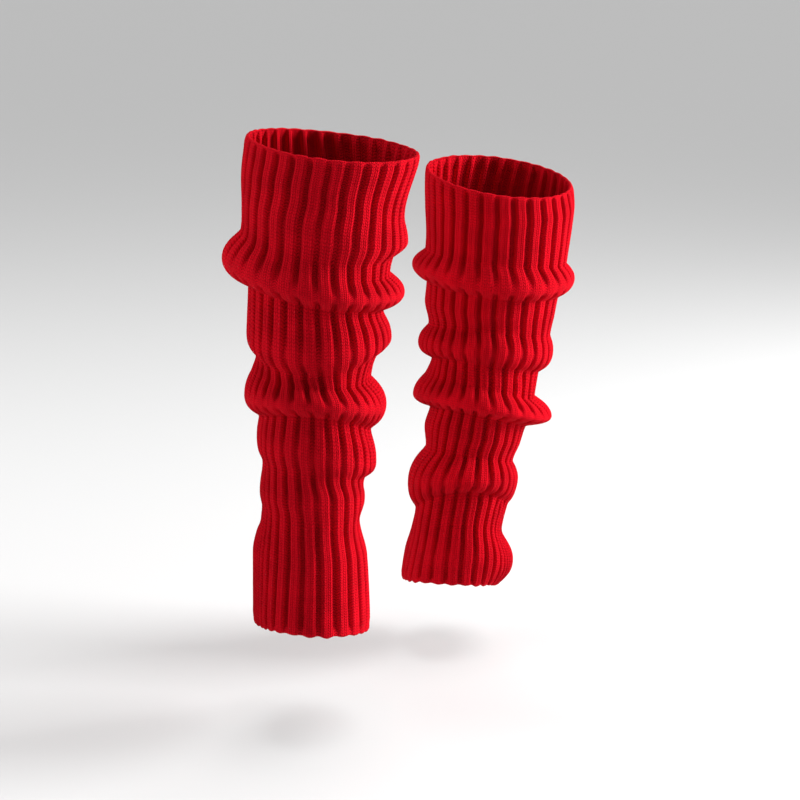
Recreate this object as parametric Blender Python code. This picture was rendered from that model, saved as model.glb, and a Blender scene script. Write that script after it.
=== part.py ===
"""A pair of slouched, ribbed knit leg warmers in the form they take when worn.

Each warmer is one knitted tube with no seam, open at its rim and at its hem. A table gives its rings
from top to bottom: the rim, the crests and creases of its slouch folds, and the hem. A ring's row gives
its height and its reach from the tube's axis on four sides, and the surface between rings is worked out.

Axes: +X to the left as worn, -Y ahead, +Z up. The origin is midway between the tubes, just below both
rims, where they are held up. The tables are in millimetres and degrees.
"""

from collections import namedtuple

import bpy
import numpy as np

MM = 0.001

# The knit, two wales raised and two sunk all round
RIBS = 32
RIB_HEIGHT = 2.6
GROOVE_WALL = 1.9
RIBS_PER_INNER_POINT = 2
FRONT_STRETCH = 0.065  # ribs are wider in front and behind than at the sides
SHOULDER = 0.24  # from the middle of a groove to the edge of a rib, as a share of the ribs' pitch
RIM_BAND = 2.5  # plain edge above the grooves
HEM_BAND = 4.5

# Where the wall is sampled between two rings, as shares of the way: closer on a roll's rounded lip
MIDWAY = (0.5,)
ROUND_A_LIP = (0.28, 0.62)
SHORT_DROP = 12.5  # rings this close need no sample between them

YARN_RED = (0.62, 0.006, 0.018)
YARN_ROUGHNESS = 0.9

# How round the wall turns at a ring: its pull on the curve above it and on the curve below it
PULL = {
    "edge": (1.0, 1.0),
    "plain": (1.0, 1.0),
    "brink": (1.0, 0.5),  # the cloth starts to stand out into a fold
    "swell": (1.4, 1.4),
    "roll": (1.7, 2.3),  # a fold with a lip that hangs over the cloth below
    "crease": (0.4, 0.8),
    "dip": (1.0, 1.0),
}

# left, front, right and back are each (height, reach). turn is how far round from the front the first
# groove lies; the ribs are stretched by spread at the angle widest, and as much closer opposite it
Ring = namedtuple("Ring", "name form left front right back turn spread widest")

RIGHT_AXIS = ((-65, -87, 60), (-77, -99, -278))
RIGHT_RINGS = (
    Ring("rim", "edge", (69, 54.5), (57, 58), (54.5, 66.5), (66, 60), -7, 0, 0),
    Ring("upper band", "plain", (42, 56.5), (32, 57), (14, 57), (38, 61), -10, 0, 0),
    Ring("first swell", "swell", (22, 55.8), (6, 58), (-4, 60), (10, 61.5), -13, 0, 0),
    Ring("first dip", "crease", (12, 55.5), (-9, 56), (-13.5, 50.5), (-4, 60), -14, 0, 0),
    Ring("above the big fold", "brink", (6, 55.8), (-18, 56.5), (-25, 48.5), (-16, 59.5), -14, 0, 0),
    Ring("big fold", "roll", (-14, 68.5), (-31, 61), (-39, 59), (-32, 68), -13.5, 0, 30),
    Ring("first crease", "crease", (-33.5, 50.5), (-42, 49), (-51.5, 44.5), (-48, 56), -13, 0.1, 60),
    Ring("second fold", "roll", (-67, 50.8), (-74, 54), (-71, 50.5), (-70, 62), -11.5, 0.12, 60),
    Ring("second dip", "dip", (-83, 44), (-90, 47.5), (-80, 42), (-88, 54), -9.5, 0.06, 60),
    Ring("above the third fold", "brink", (-92, 46.5), (-97, 49), (-98.5, 37), (-98, 55), -7.5, 0, 45),
    Ring("third fold", "roll", (-111, 51.6), (-107, 56), (-119, 48.5), (-114, 62), -2.5, 0, 45),
    Ring("third crease", "crease", (-126.5, 41), (-117.5, 45), (-136, 38.5), (-130, 50), -1.5, 0.06, 45),
    Ring("fourth fold", "roll", (-139, 42), (-142, 46.5), (-161, 43), (-151, 54), -1, 0.18, 45),
    Ring("fourth dip", "dip", (-160, 37.3), (-160, 43.5), (-172, 35.5), (-168, 47), 0.5, 0.22, 45),
    Ring("fifth fold", "swell", (-180, 39), (-176, 45), (-188, 35.5), (-186, 52), 4, 0.36, 50),
    Ring("fifth dip", "dip", (-191, 37), (-196, 42.5), (-202, 32.8), (-200, 44), 6, 0.45, 55),
    Ring("ankle", "plain", (-226, 43.4), (-226, 44.5), (-228, 38.2), (-236, 52), 8.5, 0.56, 60),
    Ring("hem", "edge", (-276.5, 42), (-269.5, 49), (-283, 42), (-288, 60), 8.5, 0.6, 60),
)

LEFT_AXIS = ((65.5, 87, 20), (28, 75, -300))
LEFT_RINGS = (
    Ring("rim", "edge", (29, 60), (13, 57), (15, 58.4), (31, 62), -4, 0, 0),
    Ring("upper band", "plain", (0, 56), (-10, 58), (-2, 61.3), (4, 61), -1.5, 0, 0),
    Ring("above the first fold", "brink", (-33, 52), (-38, 56), (-44, 60.3), (-38, 58), 0, 0, 0),
    Ring("first fold", "roll", (-44.5, 61.5), (-54, 64), (-57.5, 68.7), (-54, 66), 2.5, 0, 0),
    Ring("first crease", "crease", (-58.5, 48.3), (-64, 52), (-70, 57.5), (-68, 54), 4.5, 0.04, 0),
    Ring("second swell", "plain", (-74, 47.7), (-76, 52.5), (-85, 57.2), (-80, 56), 5, 0.04, 0),
    Ring("second dip", "brink", (-93, 42.5), (-90, 50), (-101, 55.5), (-94, 52), 7.5, 0.04, 0),
    Ring("second fold", "roll", (-107, 49), (-104, 55.5), (-117, 59.7), (-109, 61), 9, 0, 0),
    Ring("third dip", "crease", (-121, 36.5), (-117, 48), (-132.5, 50), (-126, 49), 10, 0, 0),
    Ring("above the third fold", "brink", (-133, 40), (-134, 48.5), (-152, 49.5), (-140, 52), 12, 0, -30),
    Ring("third fold", "roll", (-149.5, 48), (-148, 56), (-168, 65.3), (-158, 62), 12.5, 0, -50),
    Ring("third crease", "crease", (-160.5, 33.3), (-157, 45), (-176, 45.5), (-171, 46), 13, 0.04, -60),
    Ring("fourth swell", "plain", (-175, 35.3), (-173, 45.5), (-191, 42.8), (-183, 49), 12.5, 0.1, -60),
    Ring("fourth dip", "brink", (-193, 32.6), (-190, 43), (-204.5, 39.3), (-199, 46), 10.5, 0.14, -60),
    Ring("fourth fold", "swell", (-218, 44), (-208, 52), (-220, 44.8), (-218, 55), 8.5, 0.22, -60),
    Ring("fourth crease", "dip", (-244, 35.2), (-221, 43.5), (-241, 39.3), (-237, 44), 5.5, 0.32, -70),
    Ring("ankle", "plain", (-262, 36), (-246, 43.5), (-260, 37.3), (-258, 48), 4, 0.38, -80),
    Ring("hem swell", "swell", (-284, 38.2), (-272, 48), (-291, 50.4), (-286, 59), 5, 0.45, -80),
    Ring("hem", "edge", (-302, 39.5), (-291.5, 49), (-308, 41.5), (-309, 57), 6, 0.45, -80),
)


def on_each_side(rings, pick):
    """One number of every ring on its four sides, as an array of rings by (left, front, right, back)."""
    return np.array([[side[pick] for side in (r.left, r.front, r.right, r.back)] for r in rings], float)


def round_the_tube(sides, angle):
    """Values at an angle from the front towards the right, smooth through the four sides' values."""
    left, front, right, back = (column[:, None, None] for column in sides.T)
    swing = (front - back) / 2 * np.cos(angle) + (right - left) / 2 * np.sin(angle)
    oval = (front + back - left - right) / 4 * np.cos(2 * angle)
    return (left + front + right + back) / 4 + swing + oval


def slopes_at_rings(height, reach):
    """Reach per height at each ring: level at a crest or a crease, and gentle elsewhere."""
    between = np.diff(reach, axis=0) / np.diff(height, axis=0)
    above, below = between[:-1], between[1:]
    same_way = above * below > 0
    total = np.where(same_way, above + below, 1.0)
    inner = np.where(same_way, 2 * above * below / total, 0.0)
    return np.concatenate([between[:1], inner, between[-1:]])


def hermite(start, end, leave, arrive, t):
    """A cubic from start to end that sets off by leave and comes in by arrive."""
    return (
        start * (2 * t**3 - 3 * t**2 + 1)
        + end * (3 * t**2 - 2 * t**3)
        + leave * (t**3 - 2 * t**2 + t)
        + arrive * (t**3 - t**2)
    )


def along_the_tube(values, course):
    """One number of each ring, eased from ring to ring; course counts rings from the rim."""
    values = np.array(values, float)
    ring = np.minimum(course.astype(int), len(values) - 2)
    t = course - ring
    return values[ring] + (values[ring + 1] - values[ring]) * (3 * t**2 - 2 * t**3)


def cloth(rings, axis, rib, course):
    """Points on the ribs' tops, an array of courses by ribs; rib counts ribs from the front."""
    rib, course = np.meshgrid(rib, course)
    turn = np.radians(along_the_tube([r.turn for r in rings], course))
    widest = np.radians(along_the_tube([r.widest for r in rings], course))
    spread = along_the_tube([r.spread for r in rings], course)
    even = 2 * np.pi * rib / RIBS
    stretched = spread * (np.sin(even - widest) + np.sin(widest)) + FRONT_STRETCH * np.sin(2 * even)
    angle = even + turn + stretched

    heights = round_the_tube(on_each_side(rings, 0), angle)
    reaches = round_the_tube(on_each_side(rings, 1), angle)
    slopes = slopes_at_rings(heights, reaches)
    pulls = np.array([PULL[r.form] for r in rings])

    ring = np.clip(course.astype(int), 0, len(rings) - 2)
    t = course - ring
    rows, columns = np.indices(ring.shape)

    def at(values, step):
        return values[ring + step, rows, columns]

    drop = at(heights, 1) - at(heights, 0)
    leave, arrive = drop * pulls[ring, 1], drop * pulls[ring + 1, 0]
    height = hermite(at(heights, 0), at(heights, 1), leave, arrive, t)
    reach = hermite(at(reaches, 0), at(reaches, 1), leave * at(slopes, 0), arrive * at(slopes, 1), t)

    top, foot = np.array(axis, float)
    down = ((height - top[2]) / (foot[2] - top[2]))[..., None]
    centre = top + (foot - top) * down
    return centre[..., :2], reach, angle, height


def points_of(rings, axis, rib, course):
    centre, reach, angle, height = cloth(rings, axis, rib, course)
    x = centre[..., 0] + reach * np.sin(angle)
    y = centre[..., 1] - reach * np.cos(angle)
    return np.stack([x, y, height], axis=-1)


def outward_of(rings, axis, rib, course):
    """Unit normals of the cloth, from points a little way along it and round it."""
    step = 0.02
    last = len(rings) - 1
    lower, upper = np.minimum(course + step, last), np.maximum(course - step, 0)
    along = points_of(rings, axis, rib, lower) - points_of(rings, axis, rib, upper)
    round_it = points_of(rings, axis, rib + step, course) - points_of(rings, axis, rib - step, course)
    normal = np.cross(along, round_it)
    return normal / np.linalg.norm(normal, axis=-1, keepdims=True)


def courses_of(rings):
    """Where the wall is sampled down the tube: at each ring, between them, and at each plain band's edge."""
    height = on_each_side(rings, 0).mean(axis=1)
    drops = height[:-1] - height[1:]
    last = len(rings) - 1
    courses = [float(last), RIM_BAND / drops[0], last - HEM_BAND / drops[-1]]
    for number, drop in enumerate(drops):
        between = ROUND_A_LIP if rings[number].form == "roll" else MIDWAY
        courses += [number + share for share in (0, *between) if share == 0 or drop > SHORT_DROP]
    return np.array(sorted(courses))


def knitted_wall(rings, axis):
    """The outer points, with a groove between ribs, and the plain inner points."""
    course = courses_of(rings)
    rib = np.arange(RIBS)
    outer_rib = (rib[:, None] + np.array([0, SHOULDER, 1 - SHOULDER])).ravel()
    sunk = np.tile([RIB_HEIGHT, 0, 0], RIBS)
    grooved = np.ones(len(course))
    grooved[[0, -1]] = 0
    depth = grooved[:, None] * sunk

    outer = points_of(rings, axis, outer_rib, course)
    outer = outer - depth[..., None] * outward_of(rings, axis, outer_rib, course)
    inner_rib = rib[::RIBS_PER_INNER_POINT]
    inner = points_of(rings, axis, inner_rib, course)
    inner = inner - (RIB_HEIGHT + GROOVE_WALL) * outward_of(rings, axis, inner_rib, course)
    return outer, inner


def tube_faces(numbers, outward):
    """Quads between neighbouring rings of points, given each ring's point numbers."""
    faces = []
    for upper, lower in zip(numbers[:-1], numbers[1:]):
        for column in range(len(upper)):
            across = (column + 1) % len(upper)
            quad = (upper[column], lower[column], lower[across], upper[across])
            faces.append(quad if outward else quad[::-1])
    return faces


def edge_faces(outer, inner, upward):
    """Triangles that close the wall between an outer ring of points and an inner ring with fewer."""
    each = len(outer) // len(inner)
    faces = []
    for number, here in enumerate(inner):
        there = inner[(number + 1) % len(inner)]
        arc = [outer[(number * each + step) % len(outer)] for step in range(each + 1)]
        middle = each // 2
        faces += [(arc[step], arc[step + 1], here if step < middle else there) for step in range(each)]
        faces.append((arc[middle], there, here))
    return faces if upward else [face[::-1] for face in faces]


def yarn():
    material = bpy.data.materials.new("red_yarn")
    material.use_nodes = True
    shader = material.node_tree.nodes["Principled BSDF"]
    shader.inputs["Base Color"].default_value = (*YARN_RED, 1)
    shader.inputs["Roughness"].default_value = YARN_ROUGHNESS
    shader.inputs["Metallic"].default_value = 0
    material.diffuse_color = (*YARN_RED, 1)
    return material


def leg_warmer(name, rings, axis):
    outer, inner = knitted_wall(rings, axis)
    outer_numbers = np.arange(outer.size // 3).reshape(outer.shape[:2]).tolist()
    inner_numbers = (outer.size // 3 + np.arange(inner.size // 3)).reshape(inner.shape[:2]).tolist()
    faces = tube_faces(outer_numbers, outward=True) + tube_faces(inner_numbers, outward=False)
    faces += edge_faces(outer_numbers[0], inner_numbers[0], upward=True)
    faces += edge_faces(outer_numbers[-1], inner_numbers[-1], upward=False)

    mesh = bpy.data.meshes.new(name)
    points = np.concatenate([outer.reshape(-1, 3), inner.reshape(-1, 3)]) * MM
    mesh.from_pydata(points.tolist(), [], faces)
    mesh.validate()
    mesh.shade_smooth()
    mesh.materials.append(yarn())
    warmer = bpy.data.objects.new(name, mesh)
    bpy.context.scene.collection.objects.link(warmer)
    return warmer


def main():
    for leftover in list(bpy.data.objects):
        bpy.data.objects.remove(leftover)
    leg_warmer("leg_warmer_right", RIGHT_RINGS, RIGHT_AXIS)
    leg_warmer("leg_warmer_left", LEFT_RINGS, LEFT_AXIS)


main()
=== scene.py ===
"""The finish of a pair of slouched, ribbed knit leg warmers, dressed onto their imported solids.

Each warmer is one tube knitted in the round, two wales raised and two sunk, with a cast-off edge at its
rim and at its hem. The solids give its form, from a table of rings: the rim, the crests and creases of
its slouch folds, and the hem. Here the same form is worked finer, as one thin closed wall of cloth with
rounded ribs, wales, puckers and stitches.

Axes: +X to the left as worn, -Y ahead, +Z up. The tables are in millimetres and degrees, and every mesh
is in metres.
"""

import logging
from dataclasses import dataclass, field
from enum import Enum

import bpy
import numpy as np
from mathutils import Euler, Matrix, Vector


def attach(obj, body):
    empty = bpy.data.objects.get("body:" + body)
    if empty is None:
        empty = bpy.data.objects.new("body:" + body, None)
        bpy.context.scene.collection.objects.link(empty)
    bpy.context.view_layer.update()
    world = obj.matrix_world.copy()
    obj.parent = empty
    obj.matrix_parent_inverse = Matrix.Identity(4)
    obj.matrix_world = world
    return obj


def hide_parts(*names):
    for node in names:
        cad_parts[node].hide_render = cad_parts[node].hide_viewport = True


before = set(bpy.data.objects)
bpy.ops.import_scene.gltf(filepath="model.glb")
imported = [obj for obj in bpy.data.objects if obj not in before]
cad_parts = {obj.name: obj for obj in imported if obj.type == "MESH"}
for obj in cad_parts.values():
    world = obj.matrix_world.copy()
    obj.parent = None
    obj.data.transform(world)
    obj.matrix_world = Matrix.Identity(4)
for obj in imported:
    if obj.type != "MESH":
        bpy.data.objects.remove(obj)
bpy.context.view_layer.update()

log = logging.getLogger("leg_warmers")

MM = 0.001
BODY = "root"

Pair = tuple[float, float]
Point = tuple[float, float, float]
Grid = np.ndarray

HALF_A_RIB = np.array([0.5, 0.0, 0.0])


@dataclass(frozen=True)
class Turn:
    """How round the cloth turns.

    Args:
        pull_above, pull_below: The ring's pull on the curve above it and on the curve below it.
        flat: How flat the ribs are stretched there, from 0 to 1.
    """

    pull_above: float
    pull_below: float
    flat: float


class Form(Enum):
    """The ways in which the cloth turns at a ring."""

    PLAIN = Turn(pull_above=1.0, pull_below=1.0, flat=0.0)
    BRINK = Turn(pull_above=1.0, pull_below=0.5, flat=0.0)
    SWELL = Turn(pull_above=1.4, pull_below=1.4, flat=0.25)
    ROLL = Turn(pull_above=1.7, pull_below=2.15, flat=0.92)
    FOLD = Turn(pull_above=1.7, pull_below=2.3, flat=0.5)
    CREASE = Turn(pull_above=0.4, pull_below=0.8, flat=0.0)


@dataclass(frozen=True)
class Ring:
    """One ring of a tube.

    Args:
        name: What the ring is on the warmer.
        form: How round the cloth turns there.
        left, front, right, back: The height and the reach from the tube's axis on that side, in mm. The
            sides are named as seen from ahead, so right is +X.
        turn: How far round from the front the first groove lies, in degrees.
        spread: How much the ribs are stretched at the angle widest, and closed up opposite it.
        widest: The angle from the front where the ribs are widest, in degrees.
    """

    name: str
    form: Form
    left: Pair
    front: Pair
    right: Pair
    back: Pair
    turn: float
    spread: float
    widest: float


@dataclass(frozen=True)
class Pucker:
    """A soft trough pressed into the cloth, or a ridge where its depth is negative.

    Args:
        angle: Its middle, in degrees from the front towards +X.
        height: Its middle's height in mm.
        length: Half its length in mm.
        width: Half its width in mm.
        tilt: How much it climbs towards +X, in degrees.
        depth: How deep it is in mm.
    """

    angle: float
    height: float
    length: float
    width: float
    tilt: float
    depth: float


@dataclass(frozen=True)
class RibStitch:
    """The two-by-two rib that both tubes are knitted in.

    Args:
        ribs: How many ribs, with a groove between each two, go round a tube.
        wales_per_rib: How many wales a rib and a groove take together.
        course: The length of one course in mm.
        height: How far the ribs stand over the grooves in mm.
        groove: Where a groove's flank begins and ends, as shares of a rib's pitch from its middle.
        wale_gap: How deep the gap between a rib's two wales is in mm.
        wale_gap_width: How wide that gap is, as a share of a rib's pitch.
        cloth: The thickness of the cloth in mm.
        front_stretch: How much the ribs are stretched in front and behind, and closed up at the sides.
        phases: Where the points of one rib lie, from the middle of a groove on.
    """

    ribs: int = 32
    wales_per_rib: int = 4
    course: float = 2.0
    height: float = 3.1
    groove: Pair = (0.12, 0.22)
    wale_gap: float = 0.5
    wale_gap_width: float = 0.07
    cloth: float = 2.0
    front_stretch: float = 0.065
    phases: tuple[float, ...] = (0.0, 0.12, 0.17, 0.22, 0.36, 0.5, 0.64, 0.78, 0.83, 0.88)

    def across(self) -> Grid:
        """Rib coordinates of one round of points: every rib's phases in turn."""
        return (np.arange(self.ribs)[:, None] + np.array(self.phases)).ravel()

    def relief(self, rib: Grid) -> Grid:
        """Height of the knit over the rib tops, in mm.

        From a groove's middle the wall rises as a smooth step t * t * (3 - 2 * t), and a shallow gap
        exp(-(x / width)^2) parts the two wales in the middle of the rib.

        Args:
            rib: Rib coordinates, whole numbers in the middle of grooves.

        Returns:
            Heights in mm, 0 on a plain rib's top and below 0 in a groove.
        """
        from_groove = np.abs(rib - np.round(rib))
        gap = np.exp(-(((0.5 - from_groove) / self.wale_gap_width) ** 2))
        return self.height * (smooth_step(from_groove, *self.groove) - 1) - self.wale_gap * gap


@dataclass(frozen=True)
class Waves:
    """Gentle unevenness of hand: a sum of cosines round and along the tube.

    Args:
        seed_step: What is added to a warmer's seed, so that no two uses share their waves.
        count: How many cosines are added up.
        round_the_tube: The fewest and the most times that one rises and falls round the tube.
        along: The shortest and the longest way along the cloth that one takes for a radian, in mm.
    """

    seed_step: int
    count: int
    round_the_tube: tuple[int, int]
    along: Pair

    def at(self, seed: int, angle: Grid, run: Grid | float) -> Grid:
        """The sum of cos(m * angle + run / length + phase) over the waves, scaled to about 1.

        Args:
            seed: The warmer's own seed.
            angle: Angles round the tube in radians.
            run: Lengths along the cloth in mm.

        Returns:
            Values mostly between -1 and 1.
        """
        rng = np.random.default_rng(seed + self.seed_step)
        m = rng.integers(self.round_the_tube[0], self.round_the_tube[1] + 1, self.count)
        length = rng.uniform(*self.along, self.count) * rng.choice([-1, 1], self.count)
        phase = rng.uniform(0, 2 * np.pi, self.count)
        total = sum(np.cos(a * angle + run / b + c) for a, b, c in zip(m, length, phase))
        return total / np.sqrt(self.count)


SAG = Waves(seed_step=0, count=14, round_the_tube=(1, 5), along=(9, 30))
RIB_SAG = Waves(seed_step=1, count=20, round_the_tube=(5, 15), along=(6, 16))
WANDER = Waves(seed_step=2, count=18, round_the_tube=(3, 9), along=(10, 26))
EDGE_SWELL = Waves(seed_step=3, count=12, round_the_tube=(4, 13), along=(10, 30))


def on_each_side(rings: tuple[Ring, ...], pick: int) -> Grid:
    """One number of every ring on its left, front, right and back, as an array of rings by sides."""
    return np.array([[side[pick] for side in (r.left, r.front, r.right, r.back)] for r in rings], float)


def round_the_tube(sides: Grid, angle: Grid) -> Grid:
    """Values at an angle from the front, as a mean, a first and a second harmonic through four sides.

    Args:
        sides: Rings by (left, front, right, back).
        angle: Angles in radians, rows by columns.

    Returns:
        Rings by rows by columns.
    """
    left, front, right, back = (column[:, None, None] for column in sides.T)
    swing = (front - back) / 2 * np.cos(angle) + (right - left) / 2 * np.sin(angle)
    oval = (front + back - left - right) / 4 * np.cos(2 * angle)
    return (left + front + right + back) / 4 + swing + oval


def slopes_at_rings(height: Grid, reach: Grid) -> Grid:
    """Reach per height at each ring: 0 at a crest or crease, else the harmonic mean of its two sides.

    Args:
        height, reach: Heights and reaches at the rings, from the rim down.

    Returns:
        A slope for each of them.
    """
    between = np.diff(reach, axis=0) / np.diff(height, axis=0)
    above, below = between[:-1], between[1:]
    same_way = above * below > 0
    total = np.where(same_way, above + below, 1.0)
    inner = np.where(same_way, 2 * above * below / total, 0.0)
    return np.concatenate([between[:1], inner, between[-1:]])


def hermite(start: Grid, end: Grid, leave: Grid, arrive: Grid, t: Grid) -> Grid:
    """The cubic from start to end that sets off by leave and comes in by arrive.

    Args:
        start, end: Its first and its last value.
        leave, arrive: How fast it changes there, over the whole of t.
        t: How far along it is, from 0 to 1.

    Returns:
        Its values.
    """
    return (
        start * (2 * t**3 - 3 * t**2 + 1)
        + end * (3 * t**2 - 2 * t**3)
        + leave * (t**3 - 2 * t**2 + t)
        + arrive * (t**3 - t**2)
    )


def smooth_step(values: Grid, low: float, high: float) -> Grid:
    """0 below low, 1 above high, and t * t * (3 - 2 * t) between."""
    t = np.clip((values - low) / (high - low), 0, 1)
    return t * t * (3 - 2 * t)


def eased(values: Grid, course: Grid) -> Grid:
    """One number of each ring, eased from ring to ring by a smooth step.

    Args:
        values: The numbers, from the rim down.
        course: Ring coordinates, 0 at the rim.

    Returns:
        A number for each ring coordinate.
    """
    ring = np.minimum(course.astype(int), len(values) - 2)
    return values[ring] + (values[ring + 1] - values[ring]) * smooth_step(course - ring, 0, 1)


def onward(before: Grid, last: Grid) -> Grid:
    """Unit vectors that lead from one row of points on past the last one."""
    way = last - before
    return way / np.linalg.norm(way, axis=-1, keepdims=True)


def unit_normals(points: Grid) -> Grid:
    """Outward unit normals of a grid of rows down a tube by columns round it.

    The cross product of central differences, down the tube and round it; the columns wrap.

    Args:
        points: Rows by columns of points.

    Returns:
        Rows by columns of unit vectors.
    """
    down = np.gradient(points, axis=0)
    across = np.roll(points, -1, axis=1) - np.roll(points, 1, axis=1)
    normal = np.cross(down, across)
    return normal / np.linalg.norm(normal, axis=-1, keepdims=True)


@dataclass
class LegWarmer:
    """One knitted tube: its rings, its axis and its puckers, and the wall of cloth worked out from them.

    Args:
        name: What its piece is called.
        node: The solid that the piece takes the place of.
        rings: Its rings, from the rim down to the hem.
        axis: A point of its axis near the rim and one near the hem, in mm.
        puckers: Its puckers, on all sides.
        seed: What fixes its unevenness.
        flat: The width and the length of its whole cut, laid flat, in metres. Not used.
        stitch: The rib that it is knitted in.
        outer_rows, inner_rows, edge_rows: How many rows its two faces and each rounded edge have.
        outer_closer, inner_closer: How much closer those of the faces lie in folds, as for rows_down.
        steps_per_ring: How many short steps the cloth is measured in, from ring to ring.
        rim_band, hem_band: How much cloth goes over into the cast-off edge at each end, in mm.
        edge_cord: The thickness of the cast-off edge in mm.
        edge_standing: How high the ribs still stand at the edge, as a share of their height.
        edge_sunk: How far the edge lies under the rib tops, as a share of the ribs' height.
        rim_scallop, hem_scallop: How far the end of a rib swells out past that of a groove, in mm.
        scallop_unevenness: By what share those swells differ.
        wander: How far the ribs wander sideways, as a share of a rib's pitch.
        sag, rib_sag: How deep the wide and the narrow unevenness of the cloth is, in mm.
        sag_from: How far from the rim and the hem that has its full depth, in mm.
        lip_reach: How far from a lip its ribs are stretched flat, in mm.
        lip_below: How far along the cloth a lip lies under its fold's crest, in mm.
    """

    name: str
    node: str
    rings: tuple[Ring, ...]
    axis: tuple[Point, Point]
    puckers: tuple[Pucker, ...]
    seed: int
    flat: Pair
    stitch: RibStitch = field(default_factory=RibStitch)
    outer_rows: int = 208
    inner_rows: int = 86
    edge_rows: int = 5
    outer_closer: float = 3.0
    inner_closer: float = 16.0
    steps_per_ring: int = 60
    rim_band: float = 3.2
    hem_band: float = 7.5
    edge_cord: float = 2.9
    edge_standing: float = 0.3
    edge_sunk: float = 0.2
    rim_scallop: float = 0.4
    hem_scallop: float = 1.1
    scallop_unevenness: float = 0.35
    wander: float = 0.012
    sag: float = 0.22
    rib_sag: float = 0.1
    sag_from: float = 14.0
    lip_reach: float = 8.5
    lip_below: float = 1.5

    def angle_of(self, rib: Grid, course: Grid) -> Grid:
        """Angles from the front.

        The angle is even + turn + spread * (sin(even - widest) + sin(widest)) + stretch * sin(2 * even),
        where even is the same step from rib to rib all round.

        Args:
            rib: Rib coordinates, rows by columns.
            course: Ring coordinates, 0 at the rim, rows by columns.

        Returns:
            Angles towards +X in radians, rows by columns.
        """
        table = np.array([(ring.turn, ring.widest, ring.spread) for ring in self.rings], float)
        turn, widest, spread = (eased(column, course) for column in table.T)
        turn, widest = np.radians(turn), np.radians(widest)
        even = 2 * np.pi * rib / self.stitch.ribs
        stretched = spread * (np.sin(even - widest) + np.sin(widest))
        return even + turn + stretched + self.stitch.front_stretch * np.sin(2 * even)

    def form(self, rib: Grid, course: Grid) -> tuple[Grid, Grid]:
        """The tube's own form, at the tops of its ribs, with no ribs or puckers.

        Height and reach run from ring to ring as cubics; a ring's pull rounds the turn there.

        Args:
            rib: Rib coordinates, rows by columns.
            course: Ring coordinates, 0 at the rim, rows by columns.

        Returns:
            The points in mm and their angles from the front.
        """
        angle = self.angle_of(rib, course)
        heights = round_the_tube(on_each_side(self.rings, 0), angle)
        reaches = round_the_tube(on_each_side(self.rings, 1), angle)
        slopes = slopes_at_rings(heights, reaches)
        pull_above = np.array([ring.form.value.pull_above for ring in self.rings])
        pull_below = np.array([ring.form.value.pull_below for ring in self.rings])
        ring = np.clip(course.astype(int), 0, len(self.rings) - 2)
        t = course - ring
        rows, columns = np.indices(ring.shape)

        upper = (ring, rows, columns)
        lower = (ring + 1, rows, columns)
        drop = heights[lower] - heights[upper]
        leave, arrive = drop * pull_below[ring], drop * pull_above[ring + 1]
        height = hermite(heights[upper], heights[lower], leave, arrive, t)
        reach = hermite(reaches[upper], reaches[lower], leave * slopes[upper], arrive * slopes[lower], t)

        top, foot = np.array(self.axis, float)
        centre = top + (foot - top) * ((height - top[2]) / (foot[2] - top[2]))[..., None]
        x = centre[..., 0] + reach * np.sin(angle)
        y = centre[..., 1] - reach * np.cos(angle)
        return np.stack([x, y, height], axis=-1), angle

    def rows_down(self, count: int, closer: float) -> tuple[Grid, Grid]:
        """Ring coordinates of a number of rows, and how far along the cloth each one lies, in mm.

        The rows lie evenly along run + closer * turned. Run is the distance down the columns and turned is
        how far they turn over on the way, in radians, both as means over the tube, so the rows lie closer
        together in the folds.

        Args:
            count: How many rows there are.
            closer: The length of plain cloth that takes as many rows as one radian of turning, in mm.

        Returns:
            Ring coordinates and distances, one of each for every row.
        """
        fine = np.linspace(0, len(self.rings) - 1, self.steps_per_ring * len(self.rings))
        every_other_rib = np.arange(0, self.stitch.ribs, 2.0)
        points, _ = self.form(*np.meshgrid(every_other_rib, fine))
        ways = np.diff(points, axis=0)
        steps = np.linalg.norm(ways, axis=-1)
        turns = np.linalg.norm(np.diff(ways / steps[..., None], axis=0), axis=-1).mean(axis=1)
        run = np.concatenate([[0], np.cumsum(steps.mean(axis=1))])
        turned = np.concatenate([[0], np.cumsum(turns), [turns.sum()]])
        weighed = run + closer * turned
        even = np.linspace(0, weighed[-1], count)
        return np.interp(even, weighed, fine), np.interp(even, weighed, run)

    def pressed_in(self, points: Grid, angle: Grid) -> Grid:
        """How deep the puckers press the cloth in, in mm.

        Each is depth * exp(-across^2) * (1 - 0.5 * across^2) * (1 - along^2)^2 in its own half lengths,
        so a trough has a low swell on each side of it and runs out softly at its ends.

        Args:
            points: Rows by columns of points in mm.
            angle: Their angles from the front.

        Returns:
            A depth for each point, below 0 on a ridge.
        """
        reach = np.linalg.norm(points[..., :2] - points[..., :2].mean(axis=1, keepdims=True), axis=-1)
        total = np.zeros(angle.shape)
        for pucker in self.puckers:
            turn = angle - np.radians(pucker.angle)
            sideways = reach * np.arctan2(np.sin(turn), np.cos(turn))
            upwards = points[..., 2] - pucker.height
            cosine, sine = np.cos(np.radians(pucker.tilt)), np.sin(np.radians(pucker.tilt))
            along = (sideways * cosine + upwards * sine) / pucker.length
            across = (upwards * cosine - sideways * sine) / pucker.width
            ends = np.clip(1 - along**2, 0, None) ** 2
            total += pucker.depth * np.exp(-(across**2)) * (1 - 0.5 * across**2) * ends
        return total

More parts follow.
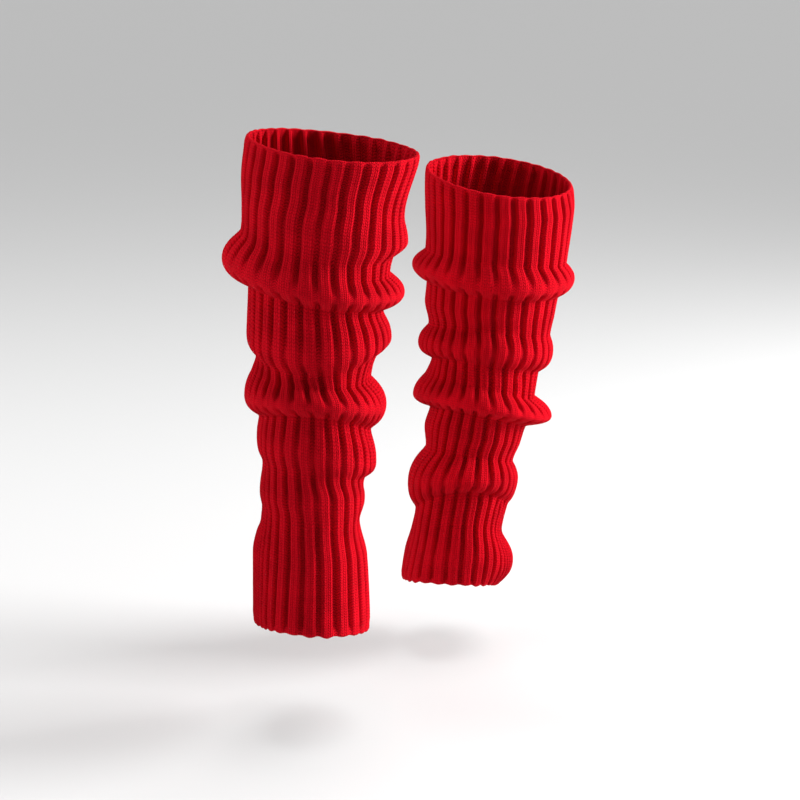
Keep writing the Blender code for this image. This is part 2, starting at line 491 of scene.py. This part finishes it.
    def stretched_flat(self, course: Grid, run: Grid) -> Grid:
        """How high the ribs stand in each row, 1 on plain cloth and less where it rolls over a lip.

        Each ring takes away flat * exp(-((run - place) / lip_reach)^2), and its place is a little below
        its crest.

        Args:
            course: Ring coordinates of the rows.
            run: How far along the cloth each row lies, in mm.

        Returns:
            A share for each row.
        """
        flat = np.array([ring.form.value.flat for ring in self.rings])
        places = np.interp(np.arange(len(flat)), course, run) + self.lip_below
        lost = flat * np.exp(-(((run[:, None] - places) / self.lip_reach) ** 2))
        return 1 - np.clip(lost.sum(axis=1), 0, 1)

    def wall(self, course: Grid, run: Grid, inside: bool) -> tuple[Grid, Grid]:
        """One face of the cloth, rows down the tube by columns round it.

        The form is pressed in by the puckers and by a little unevenness, and the relief of the ribs is
        laid along its normals. The inner face lies one thickness of cloth under the outer one. Near the
        rim and the hem the ribs fade into the cast-off edge.

        Args:
            course: Ring coordinates of the rows.
            run: How far along the cloth each row lies, in mm.
            inside: Whether this is the inner face.

        Returns:
            The points in mm, and for each point its rib and length coordinates and how high ribs stand.
        """
        rib, rows = np.meshgrid(self.stitch.across(), course)
        length = np.broadcast_to(run[:, None], rib.shape)
        even = 2 * np.pi * rib / self.stitch.ribs
        wander = WANDER.at(self.seed, even, length)
        points, angle = self.form(rib + self.wander * wander, rows)
        normal = unit_normals(points)

        uneven = self.sag * SAG.at(self.seed, angle, length)
        uneven += self.rib_sag * RIB_SAG.at(self.seed, angle, length)
        away = smooth_step(length, 0, self.sag_from) * smooth_step(run[-1] - length, 0, self.sag_from)
        inward = self.pressed_in(points, angle) + away * uneven
        points = points - inward[..., None] * normal
        normal = unit_normals(points)

        fade = smooth_step(run, 0, self.rim_band) * smooth_step(run[-1] - run, 0, self.hem_band)
        over = (1 - fade)[:, None]
        standing = self.stretched_flat(course, run)[:, None] * (1 - (1 - self.edge_standing) * over)
        level = standing * self.stitch.relief(rib) - self.edge_sunk * self.stitch.height * over
        if inside:
            level = level - self.stitch.cloth - (self.edge_cord - self.stitch.cloth) * over
        knit = np.stack([rib, length, np.broadcast_to(standing, rib.shape)], axis=-1)
        return points + level[..., None] * normal, knit

    def edge(self, outer: Grid, inner: Grid, away: Grid, scallop: float) -> Grid:
        """Rows that round the wall over at the rim or the hem, from the outer face to the inner one.

        With p from 0 to 180 degrees, a point lies at the middle of the wall, plus cos(p) times half the
        wall, plus sin(p) times its reach out over the edge. That is half the cord's thickness, and at the
        end of each rib about one scallop more, scallop * (0.5 - 0.5 * cos(2 pi rib)), a little uneven.

        Args:
            outer, inner: The outer and the inner face's last points, one for each column.
            away: Unit vectors along the cloth, out over the edge.
            scallop: How far the end of a rib swells out past the end of a groove, in mm.

        Returns:
            Rows between the two faces, without them.
        """
        middle, half = (outer + inner) / 2, (outer - inner) / 2
        p = np.linspace(0, np.pi, self.edge_rows + 2)[1:-1, None, None]
        rib = self.stitch.across()
        uneven = EDGE_SWELL.at(self.seed, 2 * np.pi * rib / self.stitch.ribs, 0.0)
        swell = scallop * (0.5 - 0.5 * np.cos(2 * np.pi * rib)) * (1 + self.scallop_unevenness * uneven)
        return middle + np.cos(p) * half + np.sin(p) * (self.edge_cord / 2 + swell)[:, None] * away

    def build(self) -> bpy.types.Object:
        """Makes the whole wall one mesh: outer face, hem edge, inner face and rim edge, closed all round.

        Inside, the ribs are the grooves of the outside, so its rib coordinates are half a rib on.

        Returns:
            The piece, in the scene.
        """
        outer, outer_knit = self.wall(*self.rows_down(self.outer_rows, self.outer_closer), inside=False)
        inner, inner_knit = self.wall(*self.rows_down(self.inner_rows, self.inner_closer), inside=True)
        inner, inner_knit = inner[::-1], inner_knit[::-1]

        hem = self.edge(outer[-1], inner[0], onward(outer[-3], outer[-1]), self.hem_scallop)
        rim = self.edge(outer[0], inner[-1], onward(outer[2], outer[0]), self.rim_scallop)[::-1]
        points = np.concatenate([outer, hem, inner, rim])
        knit = np.concatenate([
            outer_knit,
            self.edge_knit(outer_knit[-1], 1),
            inner_knit + HALF_A_RIB,
            self.edge_knit(outer_knit[0], -1)[::-1],
        ])
        return self.mesh_of(points * MM, knit)

    def edge_knit(self, last: Grid, way: int) -> Grid:
        """The knit's coordinates as they run on over an edge.

        Args:
            last: Those of the outer face's row next to the edge.
            way: 1 where the courses count on over the edge, -1 where they count back.

        Returns:
            Rows by columns of rib and length coordinates and of how high the ribs stand.
        """
        step = np.pi * self.edge_cord / 2 / (self.edge_rows + 1)
        steps = step * np.arange(1, self.edge_rows + 1)[:, None]
        rib, standing = (np.broadcast_to(last[:, k], (self.edge_rows, len(last))) for k in (0, 2))
        return np.stack([rib, last[:, 1] + way * steps, standing], axis=-1)

    def mesh_of(self, points: Grid, knit: Grid) -> bpy.types.Object:
        """A mesh from a grid that closes on itself both ways, with the knit's own UV map.

        Args:
            points: Rows by columns of points in metres.
            knit: Rows by columns of rib and length coordinates and of how high the ribs stand.

        Returns:
            The piece, shaded smooth. Its UV map counts wales one way and courses the other, and its
            attribute standing is 1 where the ribs stand at their full height.
        """
        rows, columns = points.shape[:2]
        row, column = np.indices((rows, columns))
        below, beside = (row + 1) % rows, (column + 1) % columns
        corners = [(row, column), (below, column), (below, beside), (row, beside)]
        faces = np.stack([r * columns + c for r, c in corners], axis=-1).reshape(-1, 4)

        wales = knit[..., 0] * self.stitch.wales_per_rib
        courses = knit[..., 1] / self.stitch.course
        lap = np.where(beside == 0, self.stitch.ribs * self.stitch.wales_per_rib, 0)
        u = np.stack([wales[r, c] + (lap if c is beside else 0) for r, c in corners], axis=-1)
        v = np.stack([courses[r, c] for r, c in corners], axis=-1)

        mesh = bpy.data.meshes.new(self.name)
        mesh.from_pydata(points.reshape(-1, 3).tolist(), [], faces.tolist())
        uv = mesh.uv_layers.new(name="knit")
        uv.data.foreach_set("uv", np.stack([u, v], axis=-1).astype(np.float32).ravel())
        standing = mesh.attributes.new("standing", "FLOAT", "POINT")
        standing.data.foreach_set("value", knit[..., 2].astype(np.float32).ravel())
        mesh.shade_smooth()
        mesh.update()
        piece = bpy.data.objects.new(self.name, mesh)
        bpy.context.scene.collection.objects.link(piece)
        return piece

    def dress(self, knit: bpy.types.Material) -> bpy.types.Object:
        """Args:
            knit: The knitted yarn's material.

        Returns:
            The piece.
        """
        piece = self.build()
        piece.data.materials.append(knit)
        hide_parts(self.node)
        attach(piece, BODY)
        return piece


class NodeBench:
    """A material's node tree, with short ways to add nodes and join them."""

    def __init__(self, name: str) -> None:
        """Starts a material with an empty tree.

        Args:
            name: What the material is called.
        """
        self.material = bpy.data.materials.new(name)
        self.material.use_nodes = True
        self.tree = self.material.node_tree
        self.tree.nodes.clear()

    def add(self, kind: str, inputs: dict | None = None, **settings: object) -> bpy.types.Node:
        """Adds a node.

        Args:
            kind: The node's type.
            inputs: For each input, by name or number, the socket it is joined to or the value it is set to.
            settings: The node's own settings.

        Returns:
            The node.
        """
        node = self.tree.nodes.new(kind)
        for name, value in settings.items():
            setattr(node, name, value)
        for key, value in (inputs or {}).items():
            if isinstance(value, bpy.types.NodeSocket):
                self.tree.links.new(value, node.inputs[key])
            else:
                node.inputs[key].default_value = value
        return node

    def math(self, operation: str, *values: object) -> bpy.types.NodeSocket:
        """The result of a Math node on up to three sockets or numbers."""
        node = self.add("ShaderNodeMath", dict(enumerate(values)), operation=operation)
        return node.outputs[0]


@dataclass(frozen=True)
class Yarn:
    """The soft acrylic yarn, dyed red, as it looks when knitted in a two-by-two rib.

    Args:
        name: What the material is called.
        bright, deep: The colour of the strands' tops, and the deep colour painted as shade into the gaps
        between them and into the grooves. The dye's and the fibres' uneven tone also runs between the two.
        sheen_tint, sheen, sheen_roughness: The halo of loose fibres: its colour, how much, how wide.
        roughness, shine: How matt the strands are, and how much they reflect.
        groove_from, rib_to: How far from a rib's middle a groove begins and a rib ends, as shares.
        painted_groove_shade: How much darker a groove's colour is painted, as shade, where its ribs stand at
            full
        height.
        leg_slant: How many courses a leg of a stitch climbs across its wale.
        leg_lean: How far the thick part of a leg lies towards the wale's middle; 1 is halfway.
        leg_top, leg_side: How round a leg is along its wale and across it; less than 1 is flatter.
        arc_height: How many courses the arcs in a groove rise.
        stitch_depth, fibre_depth: How deep the stitches and the fibres are, in metres.
        fibre_scale, fibre_detail: How fine the fibres are.
        blotch_scale, blotch_detail: How fine the dye's soft unevenness is.
        stitch_gap_shade_share, fibre_share, blotch_share: How much of the brightness each of the three
        gives. The stitches' share is painted shade between the strands; the fibres' and the blotches' is
        uneven tone.
    """

    name: str = "red_rib_knit"
    bright: tuple[float, float, float] = (0.75, 0.003, 0.014)
    deep: tuple[float, float, float] = (0.10, 0.0, 0.001)
    sheen_tint: tuple[float, float, float] = (1.0, 0.04, 0.06)
    roughness: float = 0.95
    shine: float = 0.03
    sheen: float = 0.12
    sheen_roughness: float = 0.45
    groove_from: float = 0.4
    rib_to: float = 0.3
    painted_groove_shade: float = 0.32
    leg_slant: float = 0.55
    leg_lean: float = 0.8
    leg_top: float = 0.6
    leg_side: float = 0.5
    arc_height: float = 0.25
    stitch_depth: float = 0.0006
    fibre_depth: float = 0.00012
    fibre_scale: float = 2600.0
    fibre_detail: float = 3.0
    blotch_scale: float = 60.0
    blotch_detail: float = 4.0
    stitch_gap_shade_share: float = 0.35
    fibre_share: float = 0.35
    blotch_share: float = 0.5

    def stitches(self, bench: NodeBench) -> tuple[bpy.types.NodeSocket, bpy.types.NodeSocket]:
        """Height of the stitches, from 0 in a gap to 1 on a strand, and how much a point is on a rib.

        On a rib each wale shows two slanting legs that meet in a V: with x across the wale from 0 to 1
        and y in courses, a = |2x - 1| and the strands follow y + slant * a. In a groove the back of
        the stitch shows as rows of short arcs, y + height * cos(2 pi x).

        Args:
            bench: The material's nodes.

        Returns:
            The two numbers' sockets.
        """
        uv = bench.add("ShaderNodeUVMap", uv_map="knit").outputs["UV"]
        split = bench.add("ShaderNodeSeparateXYZ", {"Vector": uv})
        wale, course = split.outputs["X"], split.outputs["Y"]
        place = bench.math("FRACT", bench.math("DIVIDE", wale, float(RibStitch.wales_per_rib)))
        from_middle = bench.math("ABSOLUTE", bench.math("SUBTRACT", place, 0.5))
        on_rib = bench.add(
            "ShaderNodeMapRange",
            {"Value": from_middle, "From Min": self.groove_from, "From Max": self.rib_to},
            interpolation_type="SMOOTHSTEP",
        ).outputs["Result"]

        x = bench.math("FRACT", wale)
        a = bench.math("ABSOLUTE", bench.math("MULTIPLY_ADD", x, 2.0, -1.0))
        leg_run = bench.math("MULTIPLY_ADD", a, self.leg_slant, course)
        leg_wave = bench.math("SINE", bench.math("MULTIPLY", bench.math("FRACT", leg_run), np.pi))
        leg_turn = bench.math("MULTIPLY", bench.math("POWER", a, self.leg_lean), np.pi)
        leg_along = bench.math("POWER", leg_wave, self.leg_top)
        leg_across = bench.math("POWER", bench.math("SINE", leg_turn), self.leg_side)
        leg = bench.math("MULTIPLY", leg_along, leg_across)

        arc = bench.math("COSINE", bench.math("MULTIPLY", x, 2 * np.pi))
        back_run = bench.math("MULTIPLY_ADD", arc, self.arc_height, course)
        back = bench.math("SINE", bench.math("MULTIPLY", bench.math("FRACT", back_run), np.pi))
        height = bench.add("ShaderNodeMix", {"Factor": on_rib, "A": back, "B": leg}, data_type="FLOAT")
        return height.outputs[0], on_rib

    def material(self) -> bpy.types.Material:
        """The knitted yarn's material, which both warmers share.

        Returns:
            The material.
        """
        bench = NodeBench(self.name)
        height, on_rib = self.stitches(bench)
        place = bench.add("ShaderNodeTexCoord").outputs["Object"]
        fibre = bench.add(
            "ShaderNodeTexNoise",
            {"Vector": place, "Scale": self.fibre_scale, "Detail": self.fibre_detail},
        ).outputs["Fac"]
        blotch = bench.add(
            "ShaderNodeTexNoise",
            {"Vector": place, "Scale": self.blotch_scale, "Detail": self.blotch_detail},
        ).outputs["Fac"]

        # Brightness of the colour: the fibres' and the dye's uneven tone, plus painted shade in the gaps
        # between the strands.
        tone_and_painted_shade = bench.math("MULTIPLY", fibre, self.fibre_share)
        tone_and_painted_shade = bench.math("MULTIPLY_ADD", height, self.stitch_gap_shade_share, tone_and_painted_shade)
        tone_and_painted_shade = bench.math("MULTIPLY_ADD", blotch, self.blotch_share, tone_and_painted_shade)
        # Painted shade in the grooves: their colour is darkened where the ribs stand at full height, less on
        # the stretched lips and at the edges.
        standing = bench.add("ShaderNodeAttribute", attribute_name="standing").outputs["Fac"]
        sunk = bench.math("MULTIPLY", bench.math("SUBTRACT", 1.0, on_rib), standing)
        tone_and_painted_shade = bench.math("MULTIPLY", tone_and_painted_shade, bench.math("MULTIPLY_ADD", sunk, -self.painted_groove_shade, 1.0))
        colour = bench.add(
            "ShaderNodeMix",
            {"Factor": tone_and_painted_shade, "A": (*self.deep, 1.0), "B": (*self.bright, 1.0)},
            data_type="RGBA",
        )
        stitched = bench.add("ShaderNodeBump", {"Height": height, "Distance": self.stitch_depth})
        fuzzy = bench.add("ShaderNodeBump", {
            "Height": fibre,
            "Distance": self.fibre_depth,
            "Normal": stitched.outputs["Normal"],
        })
        shader = bench.add("ShaderNodeBsdfPrincipled", {
            "Base Color": colour.outputs["Result"],
            "Normal": fuzzy.outputs["Normal"],
            "Roughness": self.roughness,
            "Specular IOR Level": self.shine,
            "Sheen Weight": self.sheen,
            "Sheen Roughness": self.sheen_roughness,
            "Sheen Tint": (*self.sheen_tint, 1.0),
        })
        bench.add("ShaderNodeOutputMaterial", {"Surface": shader.outputs["BSDF"]})
        return bench.material


@dataclass(frozen=True)
class SoftBox:
    """A soft studio light: a square panel aimed at a point.

    Args:
        name: What the light is called.
        place, aim: Where it hangs and what it is aimed at, in metres.
        size: The length of its sides in metres.
        power: Its power in watts.
    """

    name: str
    place: Point
    aim: Point
    size: float
    power: float

    def hang(self) -> bpy.types.Object:
        """Puts the light up.

        Returns:
            The light, in the scene.
        """
        light = bpy.data.lights.new(self.name, "AREA")
        light.size, light.energy = self.size, self.power
        panel = bpy.data.objects.new(self.name, light)
        panel.location = self.place
        panel.rotation_euler = (Vector(self.aim) - Vector(self.place)).to_track_quat("-Z", "Y").to_euler()
        bpy.context.scene.collection.objects.link(panel)
        return panel


@dataclass(frozen=True)
class WideSky:
    """A far, wide light from above, which reaches all of the floor alike.

    Args:
        name: What the light is called.
        comes_from: The way to it.
        width: How wide it looks, in degrees.
        strength: Its strength in watts for each square metre.
    """

    name: str
    comes_from: Point
    width: float
    strength: float

    def hang(self) -> bpy.types.Object:
        """Puts the light up.

        Returns:
            The light, in the scene.
        """
        light = bpy.data.lights.new(self.name, "SUN")
        light.energy, light.angle = self.strength, np.radians(self.width)
        sky = bpy.data.objects.new(self.name, light)
        sky.rotation_euler = Vector(self.comes_from).to_track_quat("Z", "Y").to_euler()
        bpy.context.scene.collection.objects.link(sky)
        return sky


@dataclass(frozen=True)
class Studio:
    """A pale room: a plain floor, soft light, and the camera where the photo was taken from.

    Args:
        floor_height, floor_reach: The floor's height and how far it goes each way, in metres.
        floor_colour, floor_roughness, floor_shine: The floor's paint.
        room_colour, room_strength: The light of the room all round.
        horizon_strength: The room's brightness at the horizon, which is the far floor's.
        horizon_fade: How far up that fades into the room's own, as the sine of the angle.
        lights: The lights, in the order in which they are hung.
        camera_place, camera_down: Where the camera stands, and how many degrees it looks down.
        lens, sensor_width: Its focal length and the width of its picture in it, in mm.
        clip: How near and how far it sees, in metres.
    """

    floor_height: float = -0.36
    floor_reach: float = 180.0
    floor_colour: tuple[float, float, float] = (0.58, 0.58, 0.58)
    floor_roughness: float = 0.9
    floor_shine: float = 0.1
    room_colour: tuple[float, float, float] = (1.0, 1.0, 1.0)
    room_strength: float = 0.24
    horizon_strength: float = 0.51
    horizon_fade: float = 0.12
    lights: tuple[WideSky | SoftBox, ...] = (
        WideSky("sky", comes_from=(0.25, 0.15, 1.0), width=50.0, strength=2.1),
        SoftBox("key", place=(1.8, 0.2, 0.45), aim=(0.0, 0.0, -0.1), size=0.9, power=78.0),
        SoftBox("fill", place=(-2.3, -0.2, 0.7), aim=(0.0, 0.0, -0.1), size=1.2, power=40.0),
    )
    camera_place: Point = (-0.01295, -1.32721, 0.16980)
    camera_down: float = 13.0
    lens: float = 81.0
    sensor_width: float = 36.0
    clip: Pair = (0.05, 400.0)

    def lay_floor(self) -> bpy.types.Object:
        """Lays a wide pale floor.

        Returns:
            The floor, in the scene.
        """
        reach = self.floor_reach
        corners = [(-reach, -reach), (reach, -reach), (reach, reach), (-reach, reach)]
        mesh = bpy.data.meshes.new("floor")
        mesh.from_pydata([(x, y, self.floor_height) for x, y in corners], [], [(0, 1, 2, 3)])
        floor = bpy.data.objects.new("floor", mesh)
        bpy.context.scene.collection.objects.link(floor)
        bench = NodeBench("floor_paint")
        paint = bench.add("ShaderNodeBsdfPrincipled", {
            "Base Color": (*self.floor_colour, 1.0),
            "Roughness": self.floor_roughness,
            "Specular IOR Level": self.floor_shine,
        })
        bench.add("ShaderNodeOutputMaterial", {"Surface": paint.outputs["BSDF"]})
        mesh.materials.append(bench.material)
        return floor

    def light(self) -> None:
        """Lights it: softly from above, with a large key light on the right and a fill on the left."""
        self.surround()
        for light in self.lights:
            light.hang()

    def surround(self) -> None:
        """Puts a pale room all round, which fades at the horizon into the far floor's own brightness."""
        world = bpy.data.worlds.new("room")
        world.use_nodes = True
        tree = world.node_tree
        room = tree.nodes["Background"]
        room.inputs["Color"].default_value = (*self.room_colour, 1.0)
        way = tree.nodes.new("ShaderNodeTexCoord")
        rise = tree.nodes.new("ShaderNodeSeparateXYZ")
        fade = tree.nodes.new("ShaderNodeMapRange")
        fade.interpolation_type = "SMOOTHSTEP"
        fade.inputs["From Max"].default_value = self.horizon_fade
        fade.inputs["To Min"].default_value = self.horizon_strength
        fade.inputs["To Max"].default_value = self.room_strength
        tree.links.new(way.outputs["Generated"], rise.inputs["Vector"])
        tree.links.new(rise.outputs["Z"], fade.inputs["Value"])
        tree.links.new(fade.outputs["Result"], room.inputs["Strength"])
        bpy.context.scene.world = world

    def set_camera(self) -> bpy.types.Object:
        """Sets the camera at the photo's place and angle, and keeps colours as bright as a product photo's.

        Returns:
            The camera, in the scene.
        """
        camera = bpy.data.objects.new("camera", bpy.data.cameras.new("camera"))
        camera.location = self.camera_place
        camera.rotation_euler = Euler((np.radians(90 - self.camera_down), 0, 0))
        camera.data.lens = self.lens
        camera.data.sensor_width = self.sensor_width
        camera.data.clip_start, camera.data.clip_end = self.clip
        bpy.context.scene.collection.objects.link(camera)
        bpy.context.scene.camera = camera
        bpy.context.scene.view_settings.view_transform = "Standard"
        return camera


RIGHT_RINGS = (
    Ring("rim", Form.PLAIN, (69, 54.5), (57, 58), (54.5, 66.5), (66, 60), -7, 0, 0),
    Ring("upper band", Form.PLAIN, (42, 56.5), (32, 57), (14, 57), (38, 61), -10, 0, 0),
    Ring("first swell", Form.SWELL, (22, 55.8), (7, 58.8), (-4, 60), (10, 61.5), -13, 0, 0),
    Ring("first dip", Form.CREASE, (12, 55.5), (-10, 56.2), (-13.5, 50.5), (-4, 60), -14, 0, 0),
    Ring("above the big fold", Form.BRINK, (6, 55.8), (-18, 58), (-25, 48.5), (-16, 59.5), -14, 0, 0),
    Ring("big fold", Form.ROLL, (-14, 68.5), (-31, 61), (-39, 59), (-32, 68), -13.5, 0, 30),
    Ring("first crease", Form.CREASE, (-33.5, 50.5), (-42, 49), (-51.5, 44.5), (-48, 56), -13, 0.1, 60),
    Ring("second fold", Form.FOLD, (-67, 50.8), (-74, 53.8), (-71, 50.5), (-70, 62), -11, 0.12, 60),
    Ring("second dip", Form.PLAIN, (-83, 44), (-90, 47.8), (-80, 42), (-88, 54), -8.5, 0.06, 60),
    Ring("above the third fold", Form.BRINK, (-92, 46.5), (-97, 48.4), (-98.5, 37), (-98, 55), -6.2, 0, 45),
    Ring("third fold", Form.ROLL, (-111, 51.6), (-107, 56), (-119, 48.5), (-114, 62), -3.2, 0, 45),
    Ring("third crease", Form.CREASE, (-126.5, 41), (-117.5, 45), (-136, 38.5), (-130, 50), -1.5, 0.06, 45),
    Ring("fourth fold", Form.FOLD, (-139, 42), (-142, 46.5), (-161, 43), (-151, 54), -1, 0.18, 45),
    Ring("fourth dip", Form.PLAIN, (-160, 37.3), (-160, 43.5), (-172, 35.5), (-166.5, 48), 0.5, 0.22, 45),
    Ring("fifth fold", Form.SWELL, (-180, 39), (-176, 45), (-188, 35.5), (-186, 52), 4, 0.36, 50),
    Ring("fifth dip", Form.PLAIN, (-191, 37), (-196, 42.5), (-202, 32.8), (-200, 44), 6, 0.45, 55),
    Ring("ankle", Form.PLAIN, (-226, 43.4), (-226, 44.5), (-228, 38.2), (-236, 52), 8.5, 0.56, 60),
    Ring("hem", Form.PLAIN, (-276.5, 42), (-269.5, 49), (-283, 42), (-288, 60), 8.5, 0.6, 60),
)

LEFT_RINGS = (
    Ring("rim", Form.PLAIN, (29, 60), (13, 57), (15, 58.4), (31, 62), -4, 0, 0),
    Ring("upper band", Form.PLAIN, (0, 56), (-10, 58), (-2, 61.3), (4, 61), -1.5, 0, 0),
    Ring("above the first fold", Form.BRINK, (-33, 52.5), (-37, 57.5), (-44, 60.5), (-38, 58.5), 0, 0, 0),
    Ring("first fold", Form.ROLL, (-44.5, 61.5), (-55, 63.2), (-57.5, 68.7), (-54, 66), 2.5, 0, 0),
    Ring("first crease", Form.CREASE, (-58.5, 48.3), (-64.6, 52.6), (-70.8, 58), (-68, 54), 4.5, 0.04, 0),
    Ring("second swell", Form.PLAIN, (-74, 47.7), (-76, 52.5), (-85, 57.2), (-80, 56), 5, 0.04, 0),
    Ring("second dip", Form.BRINK, (-93, 42.5), (-90, 50), (-101, 55.5), (-94, 52), 7.5, 0.04, 0),
    Ring("second fold", Form.FOLD, (-107, 49), (-104, 55.5), (-117, 59.7), (-109, 61), 9, 0, 0),
    Ring("third dip", Form.CREASE, (-121, 36.5), (-117, 48), (-132.5, 50), (-126, 49), 10, 0, 0),
    Ring("above the third fold", Form.BRINK, (-133, 40), (-134, 48.5), (-152, 49.5), (-140, 52), 12, 0, -30),
    Ring("third fold", Form.ROLL, (-149.5, 48), (-148, 56), (-168, 65.3), (-158, 62), 12.5, 0, -50),
    Ring("third crease", Form.CREASE, (-160.5, 33.3), (-157, 45), (-176, 45.5), (-171, 46), 13, 0.04, -60),
    Ring("fourth swell", Form.PLAIN, (-175, 35.3), (-173, 45.5), (-191, 42.8), (-183, 49), 12.5, 0.1, -60),
    Ring("fourth dip", Form.BRINK, (-193, 32.6), (-190, 43), (-204.5, 39.3), (-199, 46), 10.5, 0.14, -60),
    Ring("fourth fold", Form.FOLD, (-218, 44), (-209, 53.2), (-220, 44.8), (-218, 55), 8.5, 0.22, -60),
    Ring("fourth crease", Form.CREASE, (-244, 35.2), (-220, 43), (-241, 39.3), (-237, 44), 5.5, 0.32, -70),
    Ring("ankle", Form.PLAIN, (-262, 36), (-246, 43.5), (-260, 37.3), (-258, 48), 4, 0.38, -80),
    Ring("hem swell", Form.SWELL, (-284, 38.2), (-272, 48), (-291, 50.4), (-286, 59), 5, 0.45, -80),
    Ring("hem", Form.PLAIN, (-302, 39.5), (-291.5, 49), (-308, 41.5), (-309, 57), 6, 0.45, -80),
)

RIGHT_PUCKERS = (
    Pucker(-62, -24, 26, 5, -24, 1.04),
    Pucker(-38, -92, 24, 6.5, -14, 0.8),
    Pucker(20, -150, 24, 5, 8, 0.91),
    Pucker(-30, -186, 18, 4.5, -10, 0.78),
    Pucker(150, -8, 30, 6, 12, 1.3),
    Pucker(-140, -60, 26, 5, -18, 1.17),
    Pucker(120, -98, 22, 5, 20, 1.17),
    Pucker(-160, -132, 30, 5.5, 10, 1.3),
    Pucker(100, -178, 20, 5, -16, 1.04),
    Pucker(-110, -205, 24, 5, 14, 0.98),
)

LEFT_PUCKERS = (
    Pucker(-55, -50, 22, 4.5, -18, 0.98),
    Pucker(15, -88, 24, 4.5, 6, 0.91),
    Pucker(-35, -118, 20, 4.5, -20, 1.04),
    Pucker(45, -128, 20, 4.5, 24, 1.04),
    Pucker(10, -224, 28, 5, 4, 0.98),
    Pucker(60, -232, 18, 4.5, 26, 1.17),
    Pucker(160, -40, 28, 6, 10, 1.23),
    Pucker(-130, -84, 24, 5, -16, 1.1),
    Pucker(120, -112, 22, 5, 18, 1.1),
    Pucker(-160, -165, 28, 5.5, 8, 1.23),
    Pucker(110, -205, 20, 5, -14, 0.98),
    Pucker(-120, -250, 24, 5, 12, 1.04),
)

WARMERS = (
    LegWarmer(
        name="leg_warmer_right_knit",
        node="leg_warmer_right",
        rings=RIGHT_RINGS,
        axis=((-65, -87, 60), (-77, -99, -278)),
        puckers=RIGHT_PUCKERS,
        seed=11,
        flat=(0.42, 0.38),
    ),
    LegWarmer(
        name="leg_warmer_left_knit",
        node="leg_warmer_left",
        rings=LEFT_RINGS,
        axis=((65.5, 87, 20), (28, 75, -300)),
        puckers=LEFT_PUCKERS,
        seed=47,
        hem_band=4.5,
        flat=(0.42, 0.38),
    ),
)


def main() -> None:
    """Knits both warmers, then sets up the studio."""
    logging.basicConfig(level=logging.INFO, format="%(message)s")
    knit = Yarn().material()
    for warmer in WARMERS:
        piece = warmer.dress(knit)
        log.info("%s: %d points", piece.name, len(piece.data.vertices))
    studio = Studio()
    log.info("%s laid", studio.lay_floor().name)
    studio.light()
    log.info("%s set", studio.set_camera().name)


if __name__ == "__main__":
    main()
